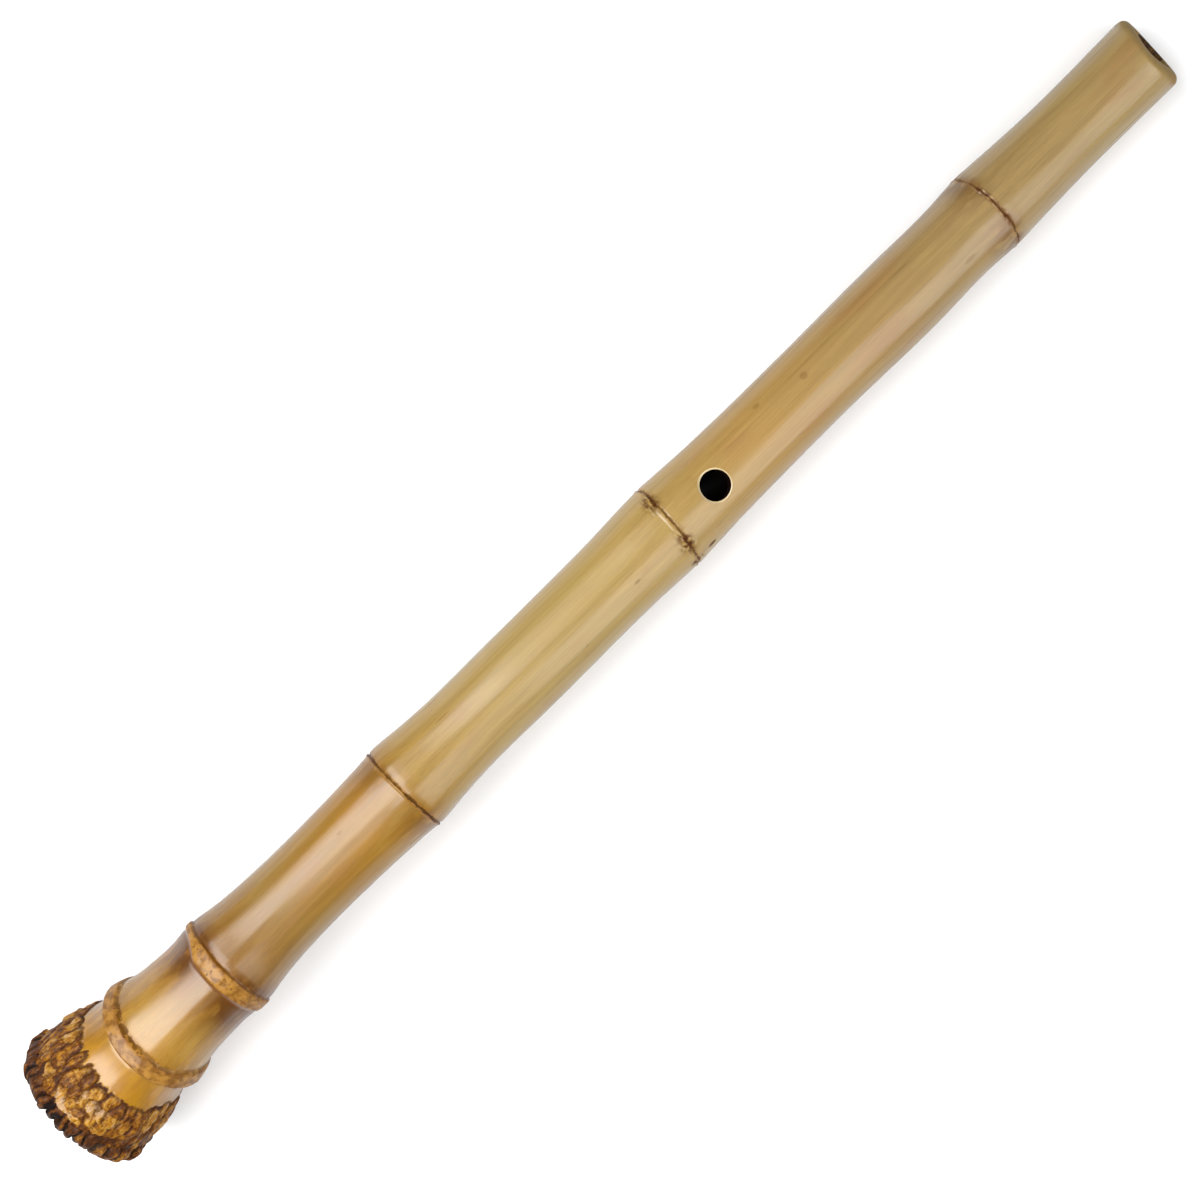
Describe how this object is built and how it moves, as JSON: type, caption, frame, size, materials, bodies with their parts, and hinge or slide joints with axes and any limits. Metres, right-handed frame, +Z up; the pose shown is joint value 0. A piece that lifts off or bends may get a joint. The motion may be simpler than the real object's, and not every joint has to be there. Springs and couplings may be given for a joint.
{
  "type": "shakuhachi",
  "caption": "End-blown bamboo flute made from one root-end culm, with a slanted blowing edge, front finger holes, a back thumb hole, a lacquered bore and a bell ringed by trimmed roots.",
  "frame": {"origin": "on the surface that the flute lies on, under the middle of its box", "axes": "+X towards the blowing end, +Z up; the flute lies with its thumb hole up and its bell bent down towards the surface"},
  "size_m": [0.5458, 0.0518, 0.0584],
  "materials": {
    "bamboo": "aged madake bamboo, polished and lightly lacquered, satin gloss, darker in the trimmed roots",
    "horn": "black water-buffalo horn, polished",
    "bore_lacquer": "dark natural lacquer over filler, semi-gloss"
  },
  "bodies": {
    "root": {"bamboo_culm": "bamboo", "utaguchi_inlay": "horn", "bore_lining": "bore_lacquer"}
  },
  "joints": []
}
